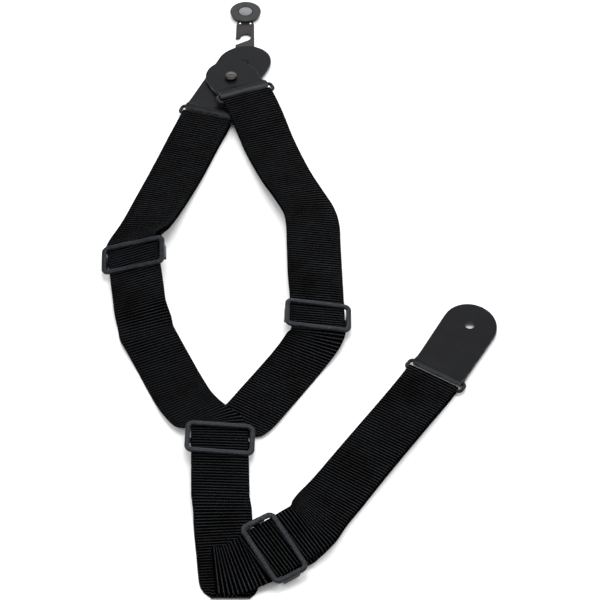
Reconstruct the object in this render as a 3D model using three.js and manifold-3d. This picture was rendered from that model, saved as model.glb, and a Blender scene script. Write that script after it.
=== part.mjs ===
// Double-shoulder instrument strap, laid flat: two webbing legs, four sliders, three leather tabs
// and a hook plate. Millimetres, +Z up, origin under the middle of the strap on the table.
import * as THREE from "three";
import { mergeVertices } from "three/addons/utils/BufferGeometryUtils.js";
import Module from "manifold-3d";

const wasm = await Module();
wasm.setup();

// ---- driving dimensions -------------------------------------------------------------------
const clearance = 0.3; // air between neighbouring pieces
const webbing = { width: 51.5, thick: 1.4 };
const wire = 1.8; // radius of the rings' wire
const ring = { length: 62, depth: 14, corner: 3.4 };
const slider = { length: 62.5, depth: 35, corner: 7, window: 54, opening: 25, frame: 3 };
const bar = { width: 6, thick: 2 }; // a slider's middle bar
const leather = { width: 53, thick: 3, fold: 1.5, strapHole: 4.5, studHole: 2.6 };
const disc = { radius: 16.3, height: 5.2, inlay: 7 };
const plate = { half: 9.8, thick: 1.7, low: 0.9, reach: 92 };

// Heights of the stack in a slider, from the table up: webbing, middle bar, sewn loop, webbing.
const underLine = webbing.thick / 2;
const barLow = webbing.thick + clearance;
const barHigh = barLow + bar.thick;
const loopLine = barHigh + clearance + webbing.thick / 2;
const overLine = loopLine + webbing.thick + clearance;
const frameLow = overLine + webbing.thick / 2 + clearance;
const wrapRadius = (overLine - underLine) / 2; // webbing's middle round a ring's bar

// ---- places -------------------------------------------------------------------------------
// A place has its centre and the angle of its bar in plan. A roll lifts the bar's far end, and a
// pitch lifts what lies "ahead": the leather of a ring, or the sewn webbing of a slider.
const place = (x, y, z, angle, roll = 0, pitch = 0) => {
  const [turn, lift, nod] = [angle, roll, pitch].map(THREE.MathUtils.degToRad);
  const basis = new THREE.Matrix4()
    .makeRotationZ(turn)
    .multiply(new THREE.Matrix4().makeRotationY(-lift))
    .multiply(new THREE.Matrix4().makeRotationX(nod));
  const [along, ahead, up] = [0, 1, 2].map(() => new THREE.Vector3());
  basis.extractBasis(along, ahead, up);
  return { centre: new THREE.Vector3(x, y, z), along, ahead, up, basis };
};
const leftRing = place(-91, 216.8, 4.4, -17.5);
const rightRing = place(-54, 240.5, 12.2, 22);
const endRing = place(125.5, -142.5, underLine + wrapRadius, -33.7);
const leftSlider = place(-154.8, 2.5, 7.9, 1.2, 15, 4);
const rightSlider = place(16.9, -74.5, 4.2, -0.8, -9);
const junctionSlider = place(-70.6, -225.3, 2.8, -1, -5, 3);
const tailSlider = place(-21.7, -353.6, 8.8, -57, -15, 1);
const stud = new THREE.Vector3(-69.3, 268.6, 0);
const peg = new THREE.Vector3(-56, 297, 0);
const rightTip = new THREE.Vector3(-68, 269.6, 0); // centres of the tabs' round ends
const endTip = new THREE.Vector3(159.6, -79.6, 0);
const tabFloor = leftRing.centre.z; // middle of the left tab
const upperTab = tabFloor + leather.thick + clearance; // middle of the right tab, lying on it

const at = (spot, ahead, z) =>
  spot.centre.clone().addScaledVector(spot.ahead, ahead).addScaledVector(spot.up, z);
// Where a point of the plan lies in a place's own frame.
const inFrame = (spot, point) => {
  const offset = point.clone().sub(spot.centre);
  return [offset.dot(spot.along), offset.dot(spot.ahead)];
};

// ---- flat strips --------------------------------------------------------------------------
// A strip is swept along stations. Each holds a point of its middle line and the direction of
// its width, given in plan with a roll that lifts the far edge.
const station = (x, y, z, angle, roll = 0, width = webbing.width) => {
  const turn = THREE.MathUtils.degToRad(angle);
  const lift = THREE.MathUtils.degToRad(roll);
  const level = Math.cos(lift);
  return {
    point: new THREE.Vector3(x, y, z),
    across: new THREE.Vector3(Math.cos(turn) * level, Math.sin(turn) * level, Math.sin(lift)),
    width,
  };
};
const stationAt = (point, spot, width = webbing.width) => ({
  point,
  across: spot.along.clone(),
  width,
});

function smoothStations(stations, step, floor) {
  const points = new THREE.CatmullRomCurve3(stations.map((s) => s.point), false, "centripetal");
  const spans = stations.length - 1;
  const out = [];
  for (let i = 0; i < spans; i++) {
    const [a, b] = [stations[i], stations[i + 1]];
    const pieces = Math.max(1, Math.round(a.point.distanceTo(b.point) / step));
    for (let j = 0; j < pieces; j++) {
      const f = j / pieces;
      const point = points.getPoint((i + f) / spans);
      point.z = Math.max(point.z, floor);
      out.push({
        point,
        across: a.across.clone().lerp(b.across, f).normalize(),
        width: a.width + (b.width - a.width) * f,
      });
    }
  }
  out.push(stations[spans]);
  return out;
}

function strip(stations, thick, step, floor = -Infinity) {
  const rows = smoothStations(stations, step, floor);
  const vertices = [];
  rows.forEach((row, i) => {
    const before = rows[Math.max(0, i - 1)].point;
    const after = rows[Math.min(rows.length - 1, i + 1)].point;
    const normal = row.across.clone().cross(after.clone().sub(before)).normalize();
    for (const [side, face] of [[-1, -1], [1, -1], [1, 1], [-1, 1]]) {
      vertices.push(
        row.point
          .clone()
          .addScaledVector(row.across, (side * row.width) / 2)
          .addScaledVector(normal, (face * thick) / 2),
      );
    }
  });
  const faces = [];
  const quad = (a, b, c, d) => faces.push(a, b, c, a, c, d);
  for (let i = 0; i < rows.length - 1; i++) {
    for (let k = 0; k < 4; k++) {
      const next = (k + 1) % 4;
      quad(i * 4 + k, i * 4 + 4 + k, i * 4 + 4 + next, i * 4 + next);
    }
  }
  const last = (rows.length - 1) * 4;
  quad(0, 1, 2, 3);
  quad(last + 3, last + 2, last + 1, last);
  return outward(meshOf(vertices, faces));
}

function meshOf(vertices, faces) {
  const geometry = new THREE.BufferGeometry().setFromPoints(vertices);
  geometry.setIndex(faces);
  return geometry;
}

// Turns a closed geometry so that its faces point out.
function outward(geometry) {
  const p = geometry.attributes.position;
  const index = geometry.index;
  const corner = [new THREE.Vector3(), new THREE.Vector3(), new THREE.Vector3()];
  let volume = 0;
  for (let i = 0; i < index.count; i += 3) {
    corner.forEach((v, k) => v.fromBufferAttribute(p, index.getX(i + k)));
    volume += corner[0].dot(corner[1].clone().cross(corner[2]));
  }
  if (volume < 0) {
    for (let i = 0; i < index.count; i += 3) {
      const swap = index.getX(i);
      index.setX(i, index.getX(i + 1));
      index.setX(i + 1, swap);
    }
  }
  geometry.computeVertexNormals();
  return geometry;
}

const webbingStrip = (stations) => strip(stations, webbing.thick, 8, underLine);

// Webbing once round the near bar of a ring, from under it to over it.
const ringBarOffset = -(ring.depth / 2 - wire);
function wrapStations(spot) {
  const turns = 8;
  return Array.from({ length: turns + 1 }, (_, i) => {
    const angle = -Math.PI / 2 + (Math.PI * i) / turns;
    const out = ringBarOffset + wrapRadius * Math.cos(angle);
    return stationAt(at(spot, out, wrapRadius * Math.sin(angle)), spot);
  });
}

// Webbing sewn round a slider's middle bar: under the bar, back over it, down on itself.
function sewnLoop(spot, sewn) {
  const half = bar.width / 2;
  const turn = (loopLine - underLine) / 2;
  const path = [
    [sewn, underLine],
    [half + 4, underLine],
    [-half, underLine],
    [-half - turn * 0.7, underLine + turn * 0.3],
    [-half - turn, underLine + turn],
    [-half - turn * 0.7, loopLine - turn * 0.3],
    [-half, loopLine],
    [half, loopLine],
  ];
  const rest = underLine + webbing.thick + clearance * 1.2;
  if (sewn > 14) path.push([half + 5, rest + 1], [half + 10, rest], [sewn, rest]);
  else path.push([sewn, rest + 0.7]);
  return path.map(([ahead, z]) => stationAt(at(spot, ahead, z), spot));
}

// ---- solids -------------------------------------------------------------------------------
function toSolid(geometry) {
  const bare = new THREE.BufferGeometry().setAttribute("position", geometry.attributes.position);
  if (geometry.index) bare.setIndex(geometry.index);
  const merged = mergeVertices(bare, 1e-4);
  return new wasm.Manifold(
    new wasm.Mesh({
      numProp: 3,
      vertProperties: new Float32Array(merged.attributes.position.array),
      triVerts: new Uint32Array(merged.index.array),
    }),
  );
}
function toGeometry(solid) {
  const mesh = solid.getMesh();
  const geometry = new THREE.BufferGeometry();
  geometry.setAttribute("position", new THREE.BufferAttribute(mesh.vertProperties, 3));
  geometry.setIndex(new THREE.BufferAttribute(mesh.triVerts, 1));
  geometry.computeVertexNormals();
  return geometry;
}
const joined = (...parts) => toGeometry(parts.map(toSolid).reduce((a, b) => a.add(b)));
const cut = (body, ...tools) => {
  const solid = tools.map(toSolid).reduce((left, tool) => left.subtract(tool), toSolid(body));
  return toGeometry(solid);
};

const extrude = (shape, low, high, curveSegments = 8) =>
  new THREE.ExtrudeGeometry(shape, { depth: high - low, bevelEnabled: false, curveSegments })
    .translate(0, 0, low);
const block = (x0, x1, y0, y1, z0, z1) =>
  new THREE.BoxGeometry(x1 - x0, y1 - y0, z1 - z0)
    .translate((x0 + x1) / 2, (y0 + y1) / 2, (z0 + z1) / 2);
const upright = (radius, low, high, x = 0, y = 0, sides = 24) =>
  new THREE.CylinderGeometry(radius, radius, high - low, sides)
    .rotateX(Math.PI / 2)
    .translate(x, y, (low + high) / 2);
const turned = (profile, sides = 32) =>
  new THREE.LatheGeometry(profile.map(([r, z]) => new THREE.Vector2(r, z)), sides)
    .rotateX(Math.PI / 2);

function roundedRectangle(width, height, corner) {
  const [x, y] = [width / 2, height / 2];
  const shape = new THREE.Shape();
  shape.moveTo(-x + corner, -y);
  shape.lineTo(x - corner, -y);
  shape.absarc(x - corner, -y + corner, corner, -Math.PI / 2, 0);
  shape.absarc(x - corner, y - corner, corner, 0, Math.PI / 2);
  shape.absarc(-x + corner, y - corner, corner, Math.PI / 2, Math.PI);
  shape.absarc(-x + corner, -y + corner, corner, Math.PI, Math.PI * 1.5);
  return shape;
}

// A slider: two raised bars over the strap, a low middle bar under it, and a cheek at each end.
function sliderGeometry() {
  const outline = roundedRectangle(slider.length, slider.depth, slider.corner);
  outline.holes.push(roundedRectangle(slider.window, slider.opening, 1.5));
  const [inner, outer] = [slider.window / 2, slider.length / 2];
  const cheek = 8;
  return joined(
    extrude(outline, frameLow, frameLow + slider.frame, 5),
    block(-outer, -inner, -cheek, cheek, barLow, frameLow + 1),
    block(inner, outer, -cheek, cheek, barLow, frameLow + 1),
    block(-outer + 1, outer - 1, -bar.width / 2, bar.width / 2, barLow, barHigh),
  );
}

// A ring: round wire bent to a long rounded rectangle.
function ringGeometry() {
  const outline = roundedRectangle(ring.length - 2 * wire, ring.depth - 2 * wire, ring.corner);
  const middle = outline.getPoints(3);
  if (middle[0].distanceTo(middle[middle.length - 1]) < 1e-6) middle.pop();
  const sides = 10;
  const count = middle.length;
  const vertices = [];
  middle.forEach((point, i) => {
    const before = middle[(i + count - 1) % count];
    const after = middle[(i + 1) % count];
    const heading = after.clone().sub(point).normalize()
      .add(point.clone().sub(before).normalize()).normalize();
    const out = new THREE.Vector2(heading.y, -heading.x);
    for (let k = 0; k < sides; k++) {
      const a = (2 * Math.PI * k) / sides;
      const reach = wire * Math.cos(a);
      vertices.push(new THREE.Vector3(
        point.x + out.x * reach, point.y + out.y * reach, wire * Math.sin(a)));
    }
  });
  const faces = [];
  for (let i = 0; i < count; i++) {
    const j = (i + 1) % count;
    for (let k = 0; k < sides; k++) {
      const n = (k + 1) % sides;
      faces.push(i * sides + k, j * sides + k, j * sides + n);
      faces.push(i * sides + k, j * sides + n, i * sides + n);
    }
  }
  return outward(meshOf(vertices, faces));
}

// A leather tab in its ring's own frame: folded round the far bar and running on to a round end.
// "tip" is the centre of the round end in plan, "drop" how far the tab steps down on its way.
function tabGeometry(spot, tip, drop, holes) {
  const radius = leather.width / 2;
  const far = -ringBarOffset;
  const [tipSide, length] = inFrame(spot, tip);
  const level = (y) => -drop * THREE.MathUtils.smoothstep(y, far + 2, far + 14);
  const side = (y) => (tipSide * Math.max(0, y - far)) / (length - far);
  const start = far + wire + 0.6;
  const stops = Array.from({ length: 8 }, (_, i) => start + ((length - start) * i) / 7);
  const rows = stops.map((y) => station(side(y), y, level(y), 0, 0, leather.width));
  const arc = 10;
  for (let i = 1; i < arc; i++) {
    const a = (Math.PI / 2) * (i / arc);
    const y = length + radius * Math.sin(a);
    rows.push(station(side(y), y, level(y), 0, 0, leather.width * Math.cos(a)));
  }
  const wrapOuter = wire + clearance + leather.fold;
  const across = leather.width - 2;
  const rod = (r) => new THREE.CylinderGeometry(r, r, across + (r < wrapOuter ? 9 : 0), 20)
    .rotateZ(Math.PI / 2)
    .translate(0, far, 0);
  const body = joined(strip(rows, leather.thick, 4), rod(wrapOuter));
  const drills = holes.map(([point, r]) =>
    upright(r, -drop - 5, -drop + 5, ...inFrame(spot, point)));
  return cut(body, rod(wire + clearance), ...drills);
}

// ---- webbing routes -----------------------------------------------------------------------
// [x, y, angle of the width, height of the under layer, roll, height of the upper over it]
// down each doubled stretch, from its ring to its slider.
const leftLeg = [
  [-96.5, 199.5, -17.5, 1.55, 0, 5.65],
  [-103.8, 178.6, -18, 1.5, 1, 5.4],
  [-119.1, 131.4, -19, 2.2, 3, 4.8],
  [-134.5, 86, -21, 4.6, 8, 4.6],
  [-147.5, 48, -13, 8.4, 14, 5],
];
const rightLeg = [
  [-46.8, 222.5, 21.5, 8.6, 0, 5.2],
  [-40, 203, 20.5, 7.1, -1, 5.2],
  [-28.8, 168, 20, 3.6, -4, 5],
  [-12.2, 122, 23, 4.9, -9, 4.6],
  [-0.6, 96, 25, 6.2, -12, 4.6],
  [10.4, 71, 12, 5.6, -10.5, 5],
];
const over = (rows) =>
  rows.map(([x, y, angle, low, roll, gap]) => station(x, y, low + gap, angle, roll));
const under = (rows) => rows.map(([x, y, angle, low, roll]) => station(x, y, low, angle, roll));
// A straight run through a slider at "skew" to its bar, "distance" on from its middle.
const runStation = (spot, skew, distance, height = overLine) => {
  const turn = THREE.MathUtils.degToRad(skew);
  const heading = spot.along.clone().multiplyScalar(Math.sin(turn))
    .addScaledVector(spot.ahead, -Math.cos(turn));
  const across = spot.along.clone().multiplyScalar(Math.cos(turn))
    .addScaledVector(spot.ahead, Math.sin(turn));
  return { point: at(spot, 0, height).addScaledVector(heading, distance), across,
    width: webbing.width };
};

const leftSkew = 6; // how far each strap runs off square to its slider's bar, in degrees
const rightSkew = 2.5;
const junctionSkew = 3;
const tailSkew = 4;
const sewnLength = 26;
const junctionSewn = 9;
const joint = 0.4; // gap where a webbing's two nodes meet

const lead = (spot, rows) => {
  const [x, y, angle] = rows[0];
  return station(x, y, spot.centre.z - wrapRadius, angle);
};
const onward = (from, to, gap) => {
  const p = from.point.clone();
  p.addScaledVector(to.point.clone().sub(p).normalize(), gap);
  return { ...from, point: p };
};
const loopEnd = (spot, sewn) => stationAt(at(spot, sewn + joint, underLine), spot);

const tailRoute = [
  [13.6, -320.5, -43, 7.4, -10, 6],
  [21.2, -304, -35.5, 3.8, -4.5, 5.4],
  [33.5, -284.5, -34, 1.9, -1, 5],
  [60, -243.5, -34, 1.7, 2, 5.6],
  [99, -184.4, -33.7, 1.6, 2, 5.6],
  [115.5, -158.5, -33.7, underLine, 0, 5.7],
];

// A soft fold: the strap turns over about its own width, "radius" up from where it lay.
const foldOver = (x, y, z, angle, radius, width) =>
  [0, 1, 2, 3, 4].map((i) => {
    const a = (Math.PI * i) / 4;
    const turn = THREE.MathUtils.degToRad(angle);
    const out = radius * Math.sin(a);
    return station(x + Math.sin(turn) * out, y - Math.cos(turn) * out,
      z + radius * (1 - Math.cos(a)), angle, 0, width);
  });
const foldRadius = 0.95;
const mainStations = [
  lead(leftRing, leftLeg),
  ...wrapStations(leftRing),
  ...over(leftLeg),
  ...[-22, -11, 0, 20, 45, 66].map((d) => runStation(leftSlider, leftSkew, d)),
  station(-142.6, -74, 8, 10, 11),
  station(-137.8, -88, 5.6, 15, 8),
  station(-131.8, -103, 3.2, 20, 4),
  station(-125.5, -118, 1.4, 22.5, 1),
  station(-110.9, -154, 1.2, 24),
  station(-99.5, -174.5, 3.6, 30),
  station(-88.5, -189, 5.6, 34),
  station(-79.5, -198.5, 7, 24, -2),
  station(-72, -207, overLine + 2.5, 6, -5),
  ...[0, 20, 42, 62].map((d) => runStation(junctionSlider, junctionSkew, d)),
  station(-66.2, -302, 4, 3, -3),
  station(-65.5, -314, 1.9, 3, -1),
  station(-64.6, -325, underLine, 3.5),
  station(-62.5, -345, underLine, 4),
  station(-60.3, -367, underLine, 3),
  station(-59, -379, underLine, 2),
  station(-58.4, -385.5, underLine, 1, 0, 49.5),
  station(-57.8, -391.5, underLine, 0, 0, 44),
  ...foldOver(-57.3, -396, underLine, 0, foldRadius, 34),
  station(-57, -389, underLine + 2 * foldRadius, 0, 0, 34),
];
// The tail starts inside the fold, turns over to the left and runs through the tail slider.
const tailStations = [
  station(-56, -372.4, 4.6, -82),
  ...foldOver(-70.4, -371.6, 4.6, -84, 1.1),
  station(-60, -372.2, 7.2, -76, -3),
  station(-50, -369.6, 9, -70, -6),
  station(-40, -364.6, 11.4, -66, -11),
  ...[18, 10, 0, -14, -28, -36].map((d) => runStation(tailSlider, tailSkew, d)),
  ...over(tailRoute),
  ...wrapStations(endRing).reverse(),
  lead(endRing, tailRoute.slice(-1)),
];
const branchTop = [
  lead(rightRing, rightLeg),
  ...wrapStations(rightRing),
  ...over(rightLeg),
  ...[-126, -100, -60, -25, 0, 18].map((d) => runStation(rightSlider, rightSkew, d)),
  station(14, -101, 7.6, -15, -5),
  station(7.8, -110.5, 4.4, -26, -1),
  station(-1.5, -124, 1.6, -29),
  station(-14.3, -144, underLine, -30),
  station(-28, -166, underLine, -31),
];
const branchEnd = [
  onward(branchTop[branchTop.length - 1], station(-44.5, -192, underLine, 0), joint),
  station(-44.5, -192, underLine, -31),
  station(-54.5, -203.3, 1.2, -27),
  station(-62, -209, 2.8, -15, -3),
  loopEnd(junctionSlider, junctionSewn),
];
// The under layer of a leg, from just past the ring to the sewn loop of its slider.
function underLayer(spotRing, rows, spotSlider, straight = []) {
  const low = under(rows);
  low[0] = onward(lead(spotRing, rows), low[1], joint);
  return [...low, ...straight, loopEnd(spotSlider, sewnLength)];
}
const leftUnder = underLayer(leftRing, leftLeg, leftSlider);
const rightUnder = underLayer(
  rightRing, rightLeg, rightSlider,
  [-126, -100, -60].map((d) => runStation(rightSlider, rightSkew, d, underLine)));
const tailUnder = underLayer(endRing, [...tailRoute].reverse(), tailSlider);

// ---- hook ---------------------------------------------------------------------------------
// Drawn about the peg, with the disc on +Y. The notch opens on -X and rounds up to a seat.
const discAt = 83;
function hookPlateShape() {
  const shape = new THREE.Shape();
  const half = plate.half;
  const neck = 8.4;
  shape.moveTo(half, 0);
  shape.lineTo(half, 34);
  shape.lineTo(half - 0.6, 64);
  shape.lineTo(neck, 68);
  shape.lineTo(neck, plate.reach - neck);
  shape.absarc(0, plate.reach - neck, neck, 0, Math.PI);
  shape.lineTo(-neck, 68);
  shape.lineTo(-half + 0.6, 63);
  shape.lineTo(-half + 0.2, 41.6);
  shape.lineTo(-4.4, 43.6);
  shape.absarc(0.7, 43.8, 5.6, Math.PI, -0.95, true);
  shape.lineTo(-half - 0.1, 31.4);
  shape.lineTo(-half, 28);
  shape.lineTo(-half, 0);
  shape.absarc(0, 0, half, Math.PI, Math.PI * 2);
  const hole = new THREE.Path();
  hole.absarc(0, 0, 2.3, 0, Math.PI * 2, true);
  shape.holes.push(hole);
  for (const x of [-pinSpread, pinSpread]) {
    const pinHole = new THREE.Path();
    pinHole.absarc(x, pinAt, pinShank + clearance, 0, Math.PI * 2, true);
    shape.holes.push(pinHole);
  }
  return shape;
}
const pinSpread = 5.4;
const pinAt = 65.4;
const pinShank = 0.7;
const plateTop = plate.low + plate.thick;

const discProfile = [
  [0, 0], [14.2, 0], [15.8, 1], [disc.radius, 2.4], [15.9, 3.9], [14.8, disc.height - 0.4],
  [13.2, disc.height], [disc.inlay + clearance, disc.height - 0.3],
  [disc.inlay + clearance, disc.height - 1.2], [0, disc.height - 1.2],
];
const discSlot = block(
  -8.8, 8.8, -disc.radius - 1, plate.reach - discAt + 0.4, plate.low - clearance,
  plateTop + clearance);
const inlayProfile = [
  [0, disc.height - 0.9], [disc.inlay, disc.height - 0.9], [disc.inlay, disc.height - 0.1],
  [disc.inlay - 0.6, disc.height + 0.2], [0, disc.height + 0.35],
];
const pegHead = tabFloor + leather.thick / 2;
const pegProfile = [
  [0, 0], [3.8, 0], [3.8, plate.low - clearance], [2, plate.low - clearance],
  [2, plateTop + clearance], [3, plateTop + clearance], [3, pegHead - 1.2], [4.1, pegHead - 0.9],
  [4.1, pegHead - 0.3], [3.3, pegHead], [0, pegHead + 0.1],
];
const pinProfile = [
  [0, 0.2], [1.4, 0.2], [1.4, plate.low - clearance], [pinShank, plate.low - clearance],
  [pinShank, plateTop + clearance], [1.3, plateTop + clearance], [1.1, plateTop + 1],
  [0, plateTop + 1.3],
];
const postLow = tabFloor - leather.thick / 2 - clearance;
const capLow = upperTab + leather.thick / 2 + clearance;
const postProfile = [
  [0, postLow - 1.2], [5.4, postLow - 1.2], [6, postLow - 0.8], [6, postLow], [2.2, postLow],
  [2.2, capLow + 1.2], [0, capLow + 1.2],
];
const capProfile = [
  [0, capLow + 1.5], [2.5, capLow + 1.5], [2.5, capLow], [4, capLow], [4.4, capLow + 0.8],
  [6.3, capLow + 1.4], [6.4, capLow + 2.2], [5.6, capLow + 2.9], [0, capLow + 3.2],
];

// ---- pieces -------------------------------------------------------------------------------
const finish = {
  webbing: { color: 0x141416, roughness: 0.85, metalness: 0 },
  plastic: { color: 0x2a2c30, roughness: 0.45, metalness: 0 },
  wire: { color: 0x1b1c1e, roughness: 0.35, metalness: 0.6 },
  leather: { color: 0x232427, roughness: 0.6, metalness: 0 },
  nickel: { color: 0x3b3a38, roughness: 0.3, metalness: 0.9 },
  plate: { color: 0x4a4746, roughness: 0.55, metalness: 0.3 },
  disc: { color: 0x555858, roughness: 0.5, metalness: 0 },
  inlay: { color: 0xa9adb2, roughness: 0.4, metalness: 0.2 },
  steel: { color: 0xd8d8d8, roughness: 0.2, metalness: 1 },
};
const strap = new THREE.Group();
function piece(name, geometry, kind, parent = strap) {
  const mesh = new THREE.Mesh(geometry, new THREE.MeshStandardMaterial(finish[kind]));
  mesh.name = name;
  parent.add(mesh);
  return mesh;
}
function placed(spot) {
  const group = new THREE.Group();
  group.position.copy(spot.centre);
  group.setRotationFromMatrix(spot.basis);
  strap.add(group);
  return group;
}

piece("main_webbing", webbingStrip(mainStations), "webbing");
piece("tail_webbing", webbingStrip(tailStations), "webbing");
piece("branch_webbing", webbingStrip(branchTop), "webbing");
piece("branch_end_webbing", webbingStrip(branchEnd), "webbing");
piece("left_under_webbing", webbingStrip(leftUnder), "webbing");
piece("right_under_webbing", webbingStrip(rightUnder), "webbing");
piece("tail_under_webbing", webbingStrip(tailUnder), "webbing");

const sliders = { left: leftSlider, right: rightSlider, junction: junctionSlider, tail: tailSlider };
for (const [side, spot] of Object.entries(sliders)) {
  piece(`${side}_slider`, sliderGeometry(), "plastic", placed(spot));
  const sewn = side === "junction" ? junctionSewn : sewnLength;
  piece(`${side}_sewn_loop`, webbingStrip(sewnLoop(spot, sewn)), "webbing");
}

const rings = { left: leftRing, right: rightRing, end: endRing };
const tabs = {
  left: tabGeometry(leftRing, peg, 0, [[peg, leather.strapHole], [stud, leather.studHole]]),
  right: tabGeometry(rightRing, rightTip, rightRing.centre.z - upperTab,
    [[stud, leather.studHole]]),
  end: tabGeometry(endRing, endTip, 0, [[endTip, leather.strapHole]]),
};
for (const [side, spot] of Object.entries(rings)) {
  const group = placed(spot);
  piece(`${side}_ring`, ringGeometry(), "wire", group);
  piece(`${side}_tab`, tabs[side], "leather", group);
}

const studGroup = placed(place(stud.x, stud.y, 0, 0));
piece("stud_post", turned(postProfile), "nickel", studGroup);
piece("stud_cap", turned(capProfile), "nickel", studGroup);

const hook = placed(place(peg.x, peg.y, 0, 0));
piece("hook_plate", extrude(hookPlateShape(), plate.low, plateTop, 6), "plate", hook);
piece("hook_peg", turned(pegProfile, 24), "steel", hook);
piece("grip_disc", cut(turned(discProfile, 40), discSlot), "disc", hook).position.y = discAt;
piece("disc_inlay", turned(inlayProfile, 32), "inlay", hook).position.y = discAt;
for (const [side, x] of [["left", -pinSpread], ["right", pinSpread]]) {
  piece(`disc_pin_${side}`, turned(pinProfile, 12), "steel", hook).position.set(x, pinAt, 0);
}

export default strap;
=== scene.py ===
import math
import bpy
import numpy as np
from mathutils import Matrix, Vector


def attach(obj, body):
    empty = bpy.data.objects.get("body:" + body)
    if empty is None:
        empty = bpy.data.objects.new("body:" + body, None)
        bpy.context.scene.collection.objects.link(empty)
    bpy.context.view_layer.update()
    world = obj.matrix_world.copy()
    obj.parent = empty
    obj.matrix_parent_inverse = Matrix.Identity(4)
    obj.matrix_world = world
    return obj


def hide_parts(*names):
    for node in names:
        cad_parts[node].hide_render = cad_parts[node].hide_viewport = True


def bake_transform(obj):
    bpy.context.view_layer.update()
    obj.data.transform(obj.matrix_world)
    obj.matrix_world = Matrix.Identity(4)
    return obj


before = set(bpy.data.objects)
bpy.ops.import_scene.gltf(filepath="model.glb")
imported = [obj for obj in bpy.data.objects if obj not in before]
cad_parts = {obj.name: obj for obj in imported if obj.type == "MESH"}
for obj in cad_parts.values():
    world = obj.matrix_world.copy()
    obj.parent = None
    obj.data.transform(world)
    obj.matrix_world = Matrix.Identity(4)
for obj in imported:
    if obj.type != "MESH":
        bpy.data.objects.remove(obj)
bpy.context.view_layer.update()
mm = 0.001
print("frame loaded")

# places: centre, turn of the bar in plan, roll and pitch, in mm and degrees
places = {
    "leftRing": (-91, 216.8, 4.4, -17.5, 0, 0),
    "rightRing": (-54, 240.5, 12.2, 22, 0, 0),
    "endRing": (125.5, -142.5, 3.55, -33.7, 0, 0),
    "leftSlider": (-154.8, 2.5, 7.9, 1.2, 15, 4),
    "rightSlider": (16.9, -74.5, 4.2, -0.8, -9, 0),
    "junctionSlider": (-70.6, -225.3, 2.8, -1, -5, 3),
    "tailSlider": (-21.7, -353.6, 8.8, -57, -15, 1),
}
stack = {"under": 0.7, "loop": 4.7, "over": 6.4, "rail": 7.4, "wrap": 2.85, "ringBar": -5.2}
web = {"width": 51.5, "thick": 1.4, "pitch": 3.1, "relief": 0.26, "rounding": 0.5}
skews = {"left": 6, "right": 2.5, "junction": 3, "tail": 4}
shifts = {"left": -0.55, "right": 0, "junction": 0, "tail": -0.8}  # off the slider's middle


def placeOf(name):
    x, y, z, turn, roll, pitch = places[name]
    return (Matrix.Translation((x, y, z))
            @ Matrix.Rotation(math.radians(turn), 4, "Z")
            @ Matrix.Rotation(math.radians(-roll), 4, "Y")
            @ Matrix.Rotation(math.radians(pitch), 4, "X"))


# mesh helpers
def clearSelection():
    if bpy.context.mode != "OBJECT":
        bpy.ops.object.mode_set(mode="OBJECT")
    bpy.ops.object.select_all(action="DESELECT")


def choose(piece):
    clearSelection()
    piece.select_set(True)
    bpy.context.view_layer.objects.active = piece


def named(piece, name):
    piece.name = piece.data.name = name
    return piece


def editMode(piece):
    choose(piece)
    bpy.ops.object.mode_set(mode="EDIT")
    bpy.ops.mesh.select_all(action="DESELECT")


def pick(piece, kind, test):
    # kind is VERT, EDGE or FACE, and test is given one of them and its mesh
    bpy.ops.mesh.select_mode(type=kind)
    bpy.ops.object.mode_set(mode="OBJECT")
    data = piece.data
    for group in (data.vertices, data.edges, data.polygons):
        group.foreach_set("select", [False] * len(group))
    for item in {"VERT": data.vertices, "EDGE": data.edges, "FACE": data.polygons}[kind]:
        item.select = test(item, data)
    bpy.ops.object.mode_set(mode="EDIT")


def shade(piece, angle=40):
    choose(piece)
    bpy.ops.object.shade_smooth_by_angle(angle=math.radians(angle))


def applyModifier(piece, kind, **settings):
    choose(piece)
    modifier = piece.modifiers.new(kind.title(), kind)
    for key, value in settings.items():
        setattr(modifier, key, value)
    bpy.ops.object.modifier_apply(modifier=modifier.name)


def settle(piece, place=Matrix.Identity(4)):
    # a piece drawn in mm gets its place, in metres, in its own mesh
    bpy.context.view_layer.update()
    piece.data.transform(Matrix.Scale(mm, 4) @ place @ piece.matrix_world)
    piece.matrix_world = Matrix.Identity(4)
    piece.data.update()


def joinPieces(pieces, name):
    clearSelection()
    for piece in pieces:
        piece.select_set(True)
    bpy.context.view_layer.objects.active = pieces[0]
    bpy.ops.object.join()
    return named(pieces[0], name)


def rounded(piece, width, segments=3, limit=35):
    applyModifier(piece, "BEVEL", width=width, segments=segments, limit_method="ANGLE",
                  angle_limit=math.radians(limit), harden_normals=False)


def boxPiece(low, high):
    size = [b - a for a, b in zip(low, high)]
    middle = [(a + b) / 2 for a, b in zip(low, high)]
    clearSelection()
    bpy.ops.mesh.primitive_cube_add(size=1, location=middle, scale=size)
    box = bpy.context.active_object
    bpy.ops.object.transform_apply(location=True, rotation=True, scale=True)
    return box


def cutAway(piece, cutter):
    applyModifier(piece, "BOOLEAN", operation="DIFFERENCE", object=cutter, solver="EXACT")
    bpy.data.objects.remove(cutter, do_unlink=True)


def cylinderAt(radius, low, high, x=0, y=0, sides=48):
    clearSelection()
    bpy.ops.mesh.primitive_cylinder_add(vertices=sides, radius=radius, depth=high - low,
                                        location=(x, y, (low + high) / 2))
    piece = bpy.context.active_object
    bpy.ops.object.transform_apply(location=True, rotation=True, scale=True)
    return piece


# strips: rows of (point, direction of the width, width) in mm
def station(x, y, z, turn, roll=0, width=web["width"]):
    t, r = math.radians(turn), math.radians(roll)
    across = Vector((math.cos(t) * math.cos(r), math.sin(t) * math.cos(r), math.sin(r)))
    return Vector((x, y, z)), across, width


def atPlace(name, ahead, up, width=web["width"]):
    place = placeOf(name)
    return place @ Vector((0, ahead, up)), place.col[0].to_3d(), width


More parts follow.
